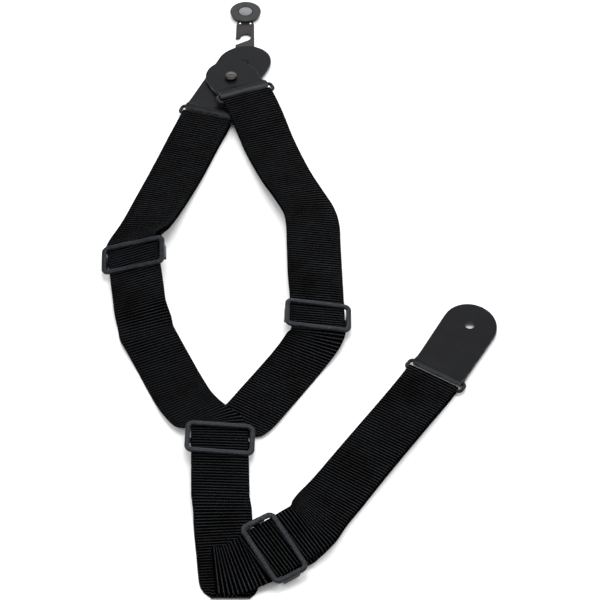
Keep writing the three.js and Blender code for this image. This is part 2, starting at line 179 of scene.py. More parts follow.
def runStation(side, distance, height=stack["over"]):
    place, skew = placeOf(side + "Slider"), math.radians(skews[side])
    along, ahead = place.col[0].to_3d(), place.col[1].to_3d()
    heading = along * math.sin(skew) - ahead * math.cos(skew)
    across = along * math.cos(skew) + ahead * math.sin(skew)
    spot = place @ Vector((shifts[side], 0, height)) + heading * distance
    return spot, across, web["width"] - 2 * abs(shifts[side])


def runStations(side, distances, height=stack["over"]):
    return [runStation(side, d, height) for d in distances]


def wrapStations(name, turns=8):
    out = []
    for i in range(turns + 1):
        a = -math.pi / 2 + math.pi * i / turns
        out.append(atPlace(name, stack["ringBar"] + stack["wrap"] * math.cos(a),
                           stack["wrap"] * math.sin(a)))
    return out


def foldOver(x, y, z, turn, radius, width=web["width"]):
    t, out = math.radians(turn), []
    for i in range(5):
        a = math.pi * i / 4
        reach = radius * math.sin(a)
        out.append(station(x + math.sin(t) * reach, y - math.cos(t) * reach,
                           z + radius * (1 - math.cos(a)), turn, 0, width))
    return out


def smoothRows(stations, step, floor):
    # a smooth curve through the stations, cut into rows one step apart
    points = [s[0] for s in stations]
    points = [2 * points[0] - points[1]] + points + [2 * points[-1] - points[-2]]
    sides = [s[1] for s in stations]
    sides = [sides[0]] + sides + [sides[-1]]
    dense, across, widths = [], [], []
    fine = 40  # points between two stations, before the rows are cut
    for i in range(len(stations) - 1):
        p = points[i:i + 4]
        gap = [max((b - a).length, 1e-4) ** 0.5 for a, b in zip(p, p[1:])]
        t1 = ((p[1] - p[0]) / gap[0] - (p[2] - p[0]) / (gap[0] + gap[1])
              + (p[2] - p[1]) / gap[1]) * gap[1]
        t2 = ((p[2] - p[1]) / gap[1] - (p[3] - p[1]) / (gap[1] + gap[2])
              + (p[3] - p[2]) / gap[2]) * gap[1]
        for j in range(fine + (i == len(stations) - 2)):
            t = j / fine
            q = (p[1] + t1 * t + (3 * (p[2] - p[1]) - 2 * t1 - t2) * t * t
                 + (2 * (p[1] - p[2]) + t1 + t2) * t * t * t)
            dense.append((q.x, q.y, max(q.z, floor)))
            a, b = sides[i + 1], sides[i + 2]
            m1, m2 = (sides[i + 2] - sides[i]) / 2, (sides[i + 3] - sides[i + 1]) / 2
            ease = (a * (1 - 3 * t * t + 2 * t ** 3) + b * (3 * t * t - 2 * t ** 3)
                    + m1 * (t - 2 * t * t + t ** 3) + m2 * (t ** 3 - t * t))
            across.append(ease.normalized())
            widths.append(stations[i][2] + (stations[i + 1][2] - stations[i][2]) * t)
    dense, across, widths = np.array(dense), np.array(across), np.array(widths)
    length = np.concatenate([[0], np.cumsum(np.linalg.norm(np.diff(dense, axis=0), axis=1))])
    rows = max(8, int(round(length[-1] / step)) + 1)
    s = np.linspace(0, length[-1], rows)
    pick3 = lambda data: np.stack([np.interp(s, length, data[:, k]) for k in range(3)], 1)
    point, side = pick3(dense), pick3(across)
    side /= np.linalg.norm(side, axis=1, keepdims=True)
    return point, side, np.interp(s, length, widths), s


def layStrip(name, stations, thick, step, rounding, relief=0, pitch=1, floor=-1e9,
             flat=8, arc=2, origin=0):
    # a closed strip along its stations, with ribs across it and a UV map in metres
    point, side, width, s = smoothRows(stations, step, floor)
    tangent = np.gradient(point, axis=0)
    normal = np.cross(side, tangent)
    normal /= np.linalg.norm(normal, axis=1, keepdims=True)
    loop = []  # (share of the flat half width, offset past it, height, rib share, edge)
    for sign in (1, -1):
        for k in range(flat + 1):
            f = sign * (2 * k / flat - 1)
            loop.append((f, 0, sign * thick / 2, sign * (abs(f) < 0.97), 0))
        for k in range(1, arc + 1):
            a = math.pi / 2 * (k - 0.5) / arc
            loop.append((sign, sign * rounding * math.sin(a),
                         sign * (thick / 2 - rounding * (1 - math.cos(a))), 0, 1))
        for k in range(arc, 0, -1):
            a = math.pi / 2 * (k - 0.5) / arc
            loop.append((sign, sign * rounding * math.sin(a),
                         -sign * (thick / 2 - rounding * (1 - math.cos(a))), 0, 1))
    loop = np.array(loop, float)
    around, rows = len(loop), len(s)
    clearSelection()
    bpy.ops.mesh.primitive_grid_add(x_subdivisions=around, y_subdivisions=rows - 1, size=1)
    piece = named(bpy.context.active_object, name)
    data = piece.data
    co = np.empty(len(data.vertices) * 3)
    data.vertices.foreach_get("co", co)
    co = co.reshape(-1, 3)
    ix = np.rint((co[:, 0] + 0.5) * around).astype(int)
    iy = np.rint((co[:, 1] + 0.5) * (rows - 1)).astype(int)
    part = loop[ix % around]
    half = np.maximum(width[iy] / 2 - rounding, 0.05)
    u = part[:, 0] * half + part[:, 1]
    wave = relief * np.cos(2 * math.pi * s[iy] / pitch)
    up = part[:, 2] + part[:, 3] * wave
    place = point[iy] + side[iy] * u[:, None] + normal[iy] * up[:, None]
    data.vertices.foreach_set("co", place.ravel())
    corner = np.empty(len(data.loops), int)
    data.loops.foreach_get("vertex_index", corner)
    uv = np.stack([u[corner], s[iy][corner] - origin], 1) * mm
    data.uv_layers[0].name = "weave"
    data.uv_layers[0].data.foreach_set("uv", uv.ravel())
    edge = data.attributes.new("edge", "FLOAT", "POINT")
    edge.data.foreach_set("value", part[:, 4])
    data.update()
    editMode(piece)
    bpy.ops.mesh.select_all(action="SELECT")
    bpy.ops.mesh.remove_doubles(threshold=0.002)
    bpy.ops.mesh.fill_holes(sides=0)
    bpy.ops.mesh.select_all(action="SELECT")
    bpy.ops.mesh.normals_make_consistent(inside=False)
    bpy.ops.object.mode_set(mode="OBJECT")
    shade(piece, 50)
    return piece


# materials
def nodeGroup(name, inputs, outputs):
    group = bpy.data.node_groups.new(name, "ShaderNodeTree")
    for label, kind, value in inputs:
        socket = group.interface.new_socket(name=label, in_out="INPUT", socket_type=kind)
        if value is not None:
            socket.default_value = value
    for label, kind in outputs:
        group.interface.new_socket(name=label, in_out="OUTPUT", socket_type=kind)
    return group, group.nodes.new("NodeGroupInput"), group.nodes.new("NodeGroupOutput")


def wire(tree, source, target):
    tree.links.new(source, target)


def maths(tree, operation, a, b=None, c=None, clamp=False):
    node = tree.nodes.new("ShaderNodeMath")
    node.operation, node.use_clamp = operation, clamp
    for k, value in enumerate((a, b, c)):
        if value is None:
            continue
        if isinstance(value, (int, float)):
            node.inputs[k].default_value = value
        else:
            wire(tree, value, node.inputs[k])
    return node.outputs[0]


def noiseNode(tree, vector, scale, detail=3, roughness=0.6):
    node = tree.nodes.new("ShaderNodeTexNoise")
    wire(tree, vector, node.inputs["Vector"])
    if isinstance(scale, (int, float)):
        node.inputs["Scale"].default_value = scale
    else:
        wire(tree, scale, node.inputs["Scale"])
    node.inputs["Detail"].default_value = detail
    node.inputs["Roughness"].default_value = roughness
    return node.outputs["Fac"]


def rampNode(tree, value, low, high):
    node = tree.nodes.new("ShaderNodeMapRange")
    node.interpolation_type = "SMOOTHSTEP"
    node.inputs["From Min"].default_value, node.inputs["From Max"].default_value = low, high
    wire(tree, value, node.inputs["Value"])
    return node.outputs["Result"]


def mixColour(tree, factor, a, b):
    node = tree.nodes.new("ShaderNodeMix")
    node.data_type = "RGBA"
    for value, socket in ((factor, node.inputs[0]), (a, node.inputs[6]), (b, node.inputs[7])):
        if isinstance(value, tuple):
            socket.default_value = (*value, 1)
        elif isinstance(value, (int, float)):
            socket.default_value = value
        else:
            wire(tree, value, socket)
    return node.outputs[2]


def weaveGroup():
    # ribs of twisted yarn across the strap, with the beads of the long yarns on each rib
    group, given, result = nodeGroup(
        "ribWeave",
        [("Place", "NodeSocketVector", None), ("Rib Pitch", "NodeSocketFloat", 0.0031),
         ("Bead Pitch", "NodeSocketFloat", 0.0014)],
        [("Height", "NodeSocketFloat"), ("Rib", "NodeSocketFloat"), ("Bead", "NodeSocketFloat"),
         ("Fuzz", "NodeSocketFloat"), ("Patch", "NodeSocketFloat")])
    split = group.nodes.new("ShaderNodeSeparateXYZ")
    wire(group, given.outputs["Place"], split.inputs[0])
    turn = 2 * math.pi
    slow = noiseNode(group, given.outputs["Place"], 240, 2)
    drift = maths(group, "MULTIPLY", maths(group, "SUBTRACT", slow, 0.5), 0.0006)
    along = maths(group, "DIVIDE", maths(group, "ADD", split.outputs[1], drift),
                  given.outputs["Rib Pitch"])
    rib = maths(group, "MULTIPLY_ADD",
                maths(group, "COSINE", maths(group, "MULTIPLY", along, turn)), 0.5, 0.5)
    shift = maths(group, "MULTIPLY", maths(group, "ROUND", along), 0.5)
    beadAt = maths(group, "ADD", maths(group, "DIVIDE", split.outputs[0],
                                       given.outputs["Bead Pitch"]), shift)
    # the bead pattern: it sets the relief and where the painted glint goes
    beadAndGlint = maths(group, "MULTIPLY_ADD",
                 maths(group, "COSINE", maths(group, "MULTIPLY", beadAt, turn)), 0.5, 0.5)
    fuzz = noiseNode(group, given.outputs["Place"], 2600, 2)
    patch = noiseNode(group, given.outputs["Place"], 28, 3)
    height = maths(group, "ADD", maths(group, "MULTIPLY", rib, 0.35),
                   maths(group, "MULTIPLY", maths(group, "MULTIPLY", rib, beadAndGlint), 0.45))
    height = maths(group, "ADD", height, maths(group, "MULTIPLY", fuzz, 0.25))
    for label, value in (("Height", height), ("Rib", rib), ("Bead", beadAndGlint), ("Fuzz", fuzz),
                         ("Patch", patch)):
        wire(group, value, result.inputs[label])
    return group


def grainGroup():
    # fine pebbled grain with broader creases, for leather and for moulded skins
    group, given, result = nodeGroup(
        "fineGrain",
        [("Place", "NodeSocketVector", None), ("Grain Scale", "NodeSocketFloat", 1400),
         ("Crease Scale", "NodeSocketFloat", 90)],
        [("Height", "NodeSocketFloat"), ("Mottle", "NodeSocketFloat"),
         ("Speck", "NodeSocketFloat")])
    cells = group.nodes.new("ShaderNodeTexVoronoi")
    wire(group, given.outputs["Place"], cells.inputs["Vector"])
    wire(group, given.outputs["Grain Scale"], cells.inputs["Scale"])
    crease = noiseNode(group, given.outputs["Place"], given.outputs["Crease Scale"], 5, 0.65)
    speck = rampNode(group, noiseNode(group, given.outputs["Place"],
                                      given.outputs["Grain Scale"], 3, 0.7), 0.56, 0.68)
    height = maths(group, "ADD", maths(group, "MULTIPLY", cells.outputs["Distance"], 0.6),
                   maths(group, "MULTIPLY", crease, 0.6))
    for label, value in (("Height", height), ("Mottle", crease), ("Speck", speck)):
        wire(group, value, result.inputs[label])
    return group


def wearAndHighlightGroup():
    # where an edge is rubbed and where it takes a painted highlight: the edge attribute broken up
    # by noise
    group, given, result = nodeGroup(
        "edgeWearAndHighlight",
        [("Place", "NodeSocketVector", None), ("Edge", "NodeSocketFloat", 0),
         ("Amount", "NodeSocketFloat", 0.5)],
        [("Mask", "NodeSocketFloat")])
    patch = noiseNode(group, given.outputs["Place"], 160, 4)
    mask = maths(group, "MULTIPLY", given.outputs["Edge"], rampNode(group, patch, 0.35, 0.7))
    wire(group, maths(group, "MULTIPLY", mask, given.outputs["Amount"]), result.inputs["Mask"])
    return group


weave, grain, wearAndHighlight = weaveGroup(), grainGroup(), wearAndHighlightGroup()


def newMaterial(name, slot, **sockets):
    material = bpy.data.materials.new(name)
    material.use_nodes = True
    shader = material.node_tree.nodes["Principled BSDF"]
    for label, value in sockets.items():
        shader.inputs[label.replace("_", " ")].default_value = value
    return material, material.node_tree, shader


def useGroup(tree, group, vector, **values):
    node = tree.nodes.new("ShaderNodeGroup")
    node.node_tree = group
    wire(tree, vector, node.inputs["Place"])
    for label, value in values.items():
        socket = node.inputs[label.replace("_", " ")]
        if isinstance(value, (int, float)):
            socket.default_value = value
        else:
            wire(tree, value, socket)
    return node.outputs


def objectPlace(tree):
    return tree.nodes.new("ShaderNodeTexCoord").outputs["Object"]


def attributeValue(tree, name):
    node = tree.nodes.new("ShaderNodeAttribute")
    node.attribute_name = name
    return node.outputs["Fac"]


def bumped(tree, shader, height, strength, distance):
    bump = tree.nodes.new("ShaderNodeBump")
    bump.inputs["Strength"].default_value = strength
    bump.inputs["Distance"].default_value = distance
    wire(tree, height, bump.inputs["Height"])
    wire(tree, bump.outputs["Normal"], shader.inputs["Normal"])


# the valley colour is painted shade in the hollows between the ribs, and the bead colour is a
# painted glint on the beads of the rib tops; rib is the yarn's own colour and dust its lint
webbingFinish = {"paintedValleyShade": (0.0001, 0.0001, 0.0002), "rib": (0.0011, 0.0012, 0.0014),
                 "beadAndGlint": (0.19, 0.19, 0.185), "dust": (0.0015, 0.0025, 0.0045),
                 "pitch": 0.0031, "beadPitch": 0.0014}


def webbingMaterial():
    f = webbingFinish
    material, tree, shader = newMaterial("ribbedWebbing", "webbing", Specular_IOR_Level=0)
    uv = tree.nodes.new("ShaderNodeUVMap")
    uv.uv_map = "weave"
    look = useGroup(tree, weave, uv.outputs[0], Rib_Pitch=f["pitch"], Bead_Pitch=f["beadPitch"])
    # painted shade: the valleys between the ribs are darker than the rib tops
    colour = mixColour(tree, rampNode(tree, look["Rib"], 0.15, 0.9), f["paintedValleyShade"], f["rib"])
    ridge = rampNode(tree, look["Rib"], 0.72, 1)
    # painted glint: near-white on the beads along each rib top, broken up by fuzz and patches
    glint = maths(tree, "MULTIPLY", maths(tree, "MULTIPLY", ridge, look["Bead"]),
                  rampNode(tree, look["Fuzz"], 0.35, 0.7))
    glint = maths(tree, "MULTIPLY", glint,
                  maths(tree, "MULTIPLY_ADD", look["Patch"], 1.3, -0.1, True))
    colour = mixColour(tree, glint, colour, f["beadAndGlint"])
    colour = mixColour(tree, rampNode(tree, look["Patch"], 0.25, 0.8), colour,
                       mixColour(tree, 0.35, colour, f["dust"]))
    wire(tree, colour, shader.inputs["Base Color"])
    wire(tree, maths(tree, "MULTIPLY_ADD", look["Bead"], -0.16, 0.68), shader.inputs["Roughness"])
    bumped(tree, shader, look["Height"], 0.8, 0.00035)
    return material


# dark and light are the leather's own mottled tone; the pale colour is partly rubbed edge wear,
# and it is also a painted highlight on the edges and along the fold
leatherFinish = {"dark": (0.0016, 0.0018, 0.0027), "light": (0.0042, 0.0046, 0.0062),
                 "wearAndHighlightColour": (0.11, 0.113, 0.12), "fold": 0.0042}


def leatherMaterial():
    f = leatherFinish
    material, tree, shader = newMaterial("strapLeather", "leather", Specular_IOR_Level=0.06)
    place = objectPlace(tree)
    look = useGroup(tree, grain, place, Grain_Scale=1500, Crease_Scale=70)
    colour = mixColour(tree, rampNode(tree, look["Mottle"], 0.3, 0.7), f["dark"], f["light"])
    # pale edge line: partly rubbed wear, partly a painted highlight
    rubbedAndHighlitEdge = useGroup(tree, wearAndHighlight, place, Edge=attributeValue(tree, "edge"), Amount=0.8)["Mask"]
    uv = tree.nodes.new("ShaderNodeUVMap")
    uv.uv_map = "weave"
    split = tree.nodes.new("ShaderNodeSeparateXYZ")
    wire(tree, uv.outputs[0], split.inputs[0])
    # painted highlight: a band across the fold, lightened where the leather turns round the bar
    folded = maths(tree, "SUBTRACT", 1,
                   rampNode(tree, maths(tree, "ABSOLUTE", split.outputs[1]), 0, f["fold"]))
    folded = maths(tree, "MULTIPLY", folded, rampNode(tree, look["Mottle"], 0.2, 0.6))
    colour = mixColour(tree, maths(tree, "MAXIMUM", rubbedAndHighlitEdge, maths(tree, "MULTIPLY", folded, 0.7)),
                       colour, f["wearAndHighlightColour"])
    wire(tree, colour, shader.inputs["Base Color"])
    wire(tree, maths(tree, "MULTIPLY_ADD", look["Mottle"], 0.25, 0.36),
         shader.inputs["Roughness"])
    bumped(tree, shader, look["Height"], 0.35, 0.00025)
    return material


def mouldedMaterial(name, slot, dark, light, speckle, roughness, grainScale, bump, metal=0,
                    specular=0.5):
    material, tree, shader = newMaterial(name, slot, Metallic=metal, Specular_IOR_Level=specular)
    place = objectPlace(tree)
    look = useGroup(tree, grain, place, Grain_Scale=grainScale, Crease_Scale=120)
    colour = mixColour(tree, rampNode(tree, look["Mottle"], 0.3, 0.7), dark, light)
    colour = mixColour(tree, maths(tree, "MULTIPLY", look["Speck"], 0.6), colour, speckle)
    wire(tree, colour, shader.inputs["Base Color"])
    wire(tree, maths(tree, "MULTIPLY_ADD", look["Mottle"], 0.18, roughness - 0.09),
         shader.inputs["Roughness"])
    bumped(tree, shader, look["Height"], bump, 0.0002)
    return material


# slot, dark, light and speckle colours, roughness, grain scale, bump, metal, specular
mouldedFinishes = {
    "sliderPlastic": ("buckle_plastic", (0.0055, 0.0066, 0.009), (0.0125, 0.0145, 0.0185),
                      (0.09, 0.097, 0.105), 0.34, 900, 0.35, 0, 0.1),
    "ringPaint": ("ring_wire", (0.0045, 0.0045, 0.005), (0.0085, 0.0085, 0.0095),
                  (0.02, 0.02, 0.02), 0.36, 1600, 0.15, 0, 0.12),
    "darkNickel": ("stud_metal", (0.022, 0.021, 0.019), (0.034, 0.033, 0.030),
                   (0.055, 0.053, 0.048), 0.22, 2200, 0.08, 1, 0.5),
    "platePaint": ("hook_plate", (0.0125, 0.0113, 0.011), (0.019, 0.0174, 0.0168),
                   (0.032, 0.03, 0.029), 0.55, 2600, 0.25, 0, 0.15),
    "discRubber": ("grip_disc", (0.0165, 0.018, 0.0178), (0.025, 0.027, 0.0265),
                   (0.042, 0.045, 0.045), 0.6, 2400, 0.3, 0, 0.15),
    "inlayEnamel": ("disc_inlay", (0.07, 0.076, 0.082), (0.10, 0.107, 0.115),
                    (0.16, 0.17, 0.18), 0.3, 3000, 0.08, 0, 0.3),
    "polishedSteel": ("pin_metal", (0.70, 0.70, 0.70), (0.80, 0.80, 0.79),
                      (0.9, 0.9, 0.9), 0.16, 2500, 0.05, 1, 0.5),
    "blackPeg": ("pin_metal", (0.0045, 0.0045, 0.0058), (0.0085, 0.0085, 0.0105),
                 (0.02, 0.02, 0.02), 0.6, 1500, 0.2, 0, 0.05),
}
finishes = {name: mouldedMaterial(name, *values) for name, values in mouldedFinishes.items()}
finishes["ribbedWebbing"] = webbingMaterial()
finishes["strapLeather"] = leatherMaterial()
print("materials made")


def finished(piece, material, body, *nodes):
    piece.data.materials.clear()
    piece.data.materials.append(finishes[material])
    if body:
        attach(piece, body)
    if nodes:
        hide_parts(*nodes)
    return piece


# webbing: each doubled leg as x, y, turn, height of the under layer, roll, gap to the upper one
legs = {
    "left": [(-96.5, 199.5, -17.5, 1.55, 0, 5.65), (-103.8, 178.6, -18, 1.5, 1, 5.4),
             (-119.1, 131.4, -19, 2.2, 3, 4.8), (-134.5, 86, -21, 4.6, 8, 4.6),
             (-147.5, 48, -13, 8.4, 14, 5)],
    "right": [(-46.8, 222.5, 21.5, 8.6, 0, 5.2), (-40, 203, 20.5, 7.1, -1, 5.2),
              (-28.8, 168, 20, 3.6, -4, 5), (-12.2, 122, 23, 4.9, -9, 4.6),
              (-0.6, 96, 25, 6.2, -12, 4.6), (10.4, 71, 12, 5.6, -10.5, 5)],
    "tail": [(13.6, -320.5, -43, 7.4, -10, 6), (21.2, -304, -35.5, 3.8, -4.5, 5.4),
             (33.5, -284.5, -34, 1.9, -1, 5), (60, -243.5, -34, 1.7, 2, 5.6),
             (99, -184.4, -33.7, 1.6, 2, 5.6), (115.5, -158.5, -33.7, 0.7, 0, 5.7)],
}
folds = {"bottom": 0.95, "tail": 1.1}  # inner radius where a strap turns back on itself
underEnd = {"gap": 0.4, "reach": 26.4}  # an under layer stops short of its ring and its loop


def over(rows):
    return [station(x, y, low + gap, turn, roll) for x, y, turn, low, roll, gap in rows]


def under(rows):
    return [station(x, y, low, turn, roll) for x, y, turn, low, roll, gap in rows]


def lead(ring, row):
    return station(row[0], row[1], places[ring][2] - stack["wrap"], row[2])


def onward(first, second, gap):
    return first[0] + (second[0] - first[0]).normalized() * gap, first[1], first[2]


def underLayer(ring, rows, slider, straight=()):
    low = under(rows)
    low[0] = onward(lead(ring, rows[0]), low[1], underEnd["gap"])
    return [*low, *straight, atPlace(slider, underEnd["reach"], stack["under"])]


mainStations = [
    lead("leftRing", legs["left"][0]), *wrapStations("leftRing"), *over(legs["left"]),
    *runStations("left", (-22, -11, 0, 20, 45, 66)),
    station(-143.4, -78, 7.2, 9, 12), station(-141, -89, 4.6, 13, 7),
    station(-138.2, -96, 4.8, 20, 3), station(-134.6, -103, 3.6, 23, 1),
    station(-125.6, -121.5, 1.3, 24.5), station(-110.9, -154.5, 1.2, 25),
    station(-100.5, -176.5, 3.6, 28.5), station(-89.8, -191.8, 5.6, 32),
    station(-79.8, -200, 7, 23, -2),
    station(-72, -207, 8.9, 6, -5), *runStations("junction", (0, 20, 42, 58, 62)),
    station(-66.2, -302, 4, 3, -3), station(-65.5, -314, 1.9, 3, -1),
    station(-64.6, -325, 0.7, 3.5), station(-62.5, -345, 0.7, 4), station(-60.3, -367, 0.7, 3),
    station(-59, -379, 0.7, 2), station(-58.4, -385.5, 0.7, 1, 0, 49.5),
    station(-57.8, -391.5, 0.7, 0, 0, 44), *foldOver(-57.3, -396, 0.7, 0, folds["bottom"], 34),
    station(-57, -389, 0.7 + 2 * folds["bottom"], 0, 0, 34),
]
tailStations = [
    station(-56, -372.4, 4.6, -82), *foldOver(-70.4, -371.6, 4.6, -84, folds["tail"]),
    station(-60, -372.2, 7.2, -76, -3), station(-50, -369.6, 9, -70, -6),
    station(-40, -364.6, 11.4, -66, -11), *runStations("tail", (18, 10, 0, -14, -28, -36)),
    *over(legs["tail"]), *reversed(wrapStations("endRing")), lead("endRing", legs["tail"][-1]),
]
branchStations = [
    lead("rightRing", legs["right"][0]), *wrapStations("rightRing"), *over(legs["right"]),
    *runStations("right", (-126, -100, -60, -25, 0, 18)),
    station(14, -101, 7.6, -15, -5), station(7.8, -110.5, 4.4, -26, -1),
    station(-1.5, -124, 1.6, -29), station(-14.3, -144, 1.1, -30),
    station(-28, -166, 1.9, -31), station(-44.5, -192, 2.9, -31),
    station(-54.5, -203.3, 3.2, -27), station(-62, -209, 3.4, -15, -3),
    atPlace("junctionSlider", 9.4, stack["under"]),
]
underStations = {
    "left": underLayer("leftRing", legs["left"], "leftSlider"),
    "right": underLayer("rightRing", legs["right"], "rightSlider",
                        runStations("right", (-126, -100, -60), stack["under"])),
    "tail": underLayer("endRing", legs["tail"][::-1], "tailSlider"),
}
strapMesh = {"thick": web["thick"], "step": web["pitch"] / 4, "rounding": web["rounding"],
             "relief": web["relief"], "pitch": web["pitch"], "floor": stack["under"]}


def webbingStrip(name, stations, body, *nodes):
    piece = layStrip(name, stations, **strapMesh)
    settle(piece)
    return finished(piece, "ribbedWebbing", body, *nodes)


webbingStrip("mainStrap", mainStations, "harness", "main_webbing")
webbingStrip("tailStrap", tailStations, "harness", "tail_webbing")


def along(x, y, z=1):
    return x * mm, y * mm, z * mm


# straps whose length a slider sets, laid as fixed meshes: stations, the slider's body, where it
# starts and ends
stretches = {
    "branchStrap": (branchStations, "junction_adjuster", along(-5, -130), along(-62, -211),
                    ("branch_webbing", "branch_end_webbing")),
    "leftUnderStrap": (underStations["left"], "left_adjuster", along(-145, 58),
                       along(-154, 32), ("left_under_webbing",)),
    "rightUnderStrap": (underStations["right"], "right_adjuster", along(-2, 98),
                        along(16, -46), ("right_under_webbing",)),
    "tailUnderStrap": (underStations["tail"], "tail_adjuster", along(60, -243),
                       along(4, -335), ("tail_under_webbing",)),
}
for name, (stations, adjuster, start, end, nodes) in stretches.items():
    piece = webbingStrip(name, stations, None, *nodes)
    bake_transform(piece)
print("straps laid")

# webbing sewn round each slider's bar
loopShape = {"half": 3, "turn": 2, "rest": 2.46, "short": 14}
sewnLengths = {"left": 26, "right": 26, "junction": 9, "tail": 26}
for side, sewn in sewnLengths.items():
    low, high = stack["under"], stack["loop"]
    half, turn, rest = loopShape["half"], loopShape["turn"], loopShape["rest"]
    path = [(sewn, low), (half + 4, low), (-half, low), (-half - turn * 0.7, low + turn * 0.3),
            (-half - turn, low + turn), (-half - turn * 0.7, high - turn * 0.3), (-half, high),
            (half, high)]
    if sewn > loopShape["short"]:
        path += [(half + 5, rest + 1), (half + 10, rest), (sewn, rest)]
    else:
        path += [(sewn, rest + 0.7)]
    stations = [atPlace(side + "Slider", ahead, up) for ahead, up in path]
    webbingStrip(side + "SewnLoop", stations, side + "_adjuster", side + "_sewn_loop")
print("loops sewn")


# sliders: a thick rounded frame over the strap, with cheeks and a low middle bar
slider = {"length": 62.5, "depth": 35, "corner": 7, "rail": 4.7, "thick": 3, "low": 7.4,
          "soften": 1.1, "cheek": 8, "cheekWide": 4, "cheekEdge": 0.8, "overlap": 1.4,
          "bar": 6, "barLow": 1.7, "barHigh": 3.7, "barEdge": 0.7}


def upright(edge, data):
    a, b = (data.vertices[k].co for k in edge.vertices)
    return abs(a.z - b.z) > 1 and (a - b).xy.length < 0.01


def sliderPiece(name):
    f = slider
    top = f["low"] + f["thick"]
    rim = boxPiece((-f["length"] / 2, -f["depth"] / 2, f["low"]),
                   (f["length"] / 2, f["depth"] / 2, top))
    editMode(rim)
    pick(rim, "EDGE", upright)
    bpy.ops.mesh.bevel(offset=f["corner"], segments=8, affect="EDGES")
    pick(rim, "FACE", lambda face, data: abs(face.normal.z) > 0.9)
    bpy.ops.mesh.inset(thickness=f["rail"], depth=0)
    bpy.ops.mesh.bridge_edge_loops()
    bpy.ops.object.mode_set(mode="OBJECT")
    rounded(rim, f["soften"], 4)
    parts = [rim]
    inner, outer = f["length"] / 2 - f["cheekWide"], f["length"] / 2 - 0.2
    for sign in (-1, 1):
        x = sorted((sign * inner, sign * outer))
        cheek = boxPiece((x[0], -f["cheek"], f["barLow"]),
                         (x[1], f["cheek"], f["low"] + f["overlap"]))
        rounded(cheek, f["cheekEdge"], 3)
        parts.append(cheek)
    bar = boxPiece((-outer + 0.6, -f["bar"] / 2, f["barLow"]),
                   (outer - 0.6, f["bar"] / 2, f["barHigh"]))
    rounded(bar, f["barEdge"], 3)
    parts.append(bar)
    return joinPieces(parts, name)


for side in ("left", "right", "junction", "tail"):
    piece = sliderPiece(side + "Buckle")
    settle(piece, placeOf(side + "Slider"))
    shade(piece, 35)
    finished(piece, "sliderPlastic", side + "_adjuster", side + "_slider")
print("sliders moulded")

# rings: wire bent to a long rounded shape
ring = {"length": 62, "depth": 14, "corner": 3.4, "wire": 1.8}


def ringPiece(name):
    f = ring
    clearSelection()
    bpy.ops.mesh.primitive_torus_add(major_radius=f["corner"], minor_radius=f["wire"],
                                     major_segments=32, minor_segments=16,
                                     rotation=(0, 0, math.pi / 32))
    wireRing = bpy.context.active_object
    bpy.ops.object.transform_apply(location=True, rotation=True, scale=True)
    stretch = (f["length"] / 2 - f["wire"] - f["corner"], f["depth"] / 2 - f["wire"] - f["corner"])
    editMode(wireRing)
    for axis in (0, 1):
        for sign in (-1, 1):
            pick(wireRing, "VERT", lambda v, data: v.co[axis] * sign > 0)
            move = [0, 0, 0]
            move[axis] = sign * stretch[axis]
            bpy.ops.transform.translate(value=move)
    bpy.ops.object.mode_set(mode="OBJECT")
    return named(wireRing, name)


for side, body in (("left", "harness"), ("right", "harness"), ("end", "end_link")):
    piece = ringPiece(side + "WireRing")
    settle(piece, placeOf(side + "Ring"))
    shade(piece, 60)
    finished(piece, "ringPaint", body, side + "_ring")
print("rings bent")

# leather tabs: one strip folded round the ring's far bar, its two layers lying flat together
leather = {"width": 53, "waist": 51.6, "thick": 1.4, "layer": 0.77, "round": 2.9, "fold": 5.2,
           "start": 12.5, "hole": 4.5, "studHole": 2.6, "edge": 0.4, "slope": 12, "tipRows": 11}
stud = Vector((-69.3, 268.6, 0))
peg = Vector((-56, 297, 0))
tabs = {
    "left": {"tip": peg, "drop": 0, "body": "harness",
             "holes": ((peg, leather["hole"]), (stud, leather["studHole"]))},
    "right": {"tip": Vector((-68, 269.6, 0)), "drop": 4.5, "body": "harness",
              "holes": ((stud, leather["studHole"]),)},
    "end": {"tip": Vector((159.6, -79.6, 0)), "drop": 0, "body": "end_leather",
            "holes": ((Vector((159.6, -79.6, 0)), leather["hole"]),)},
}


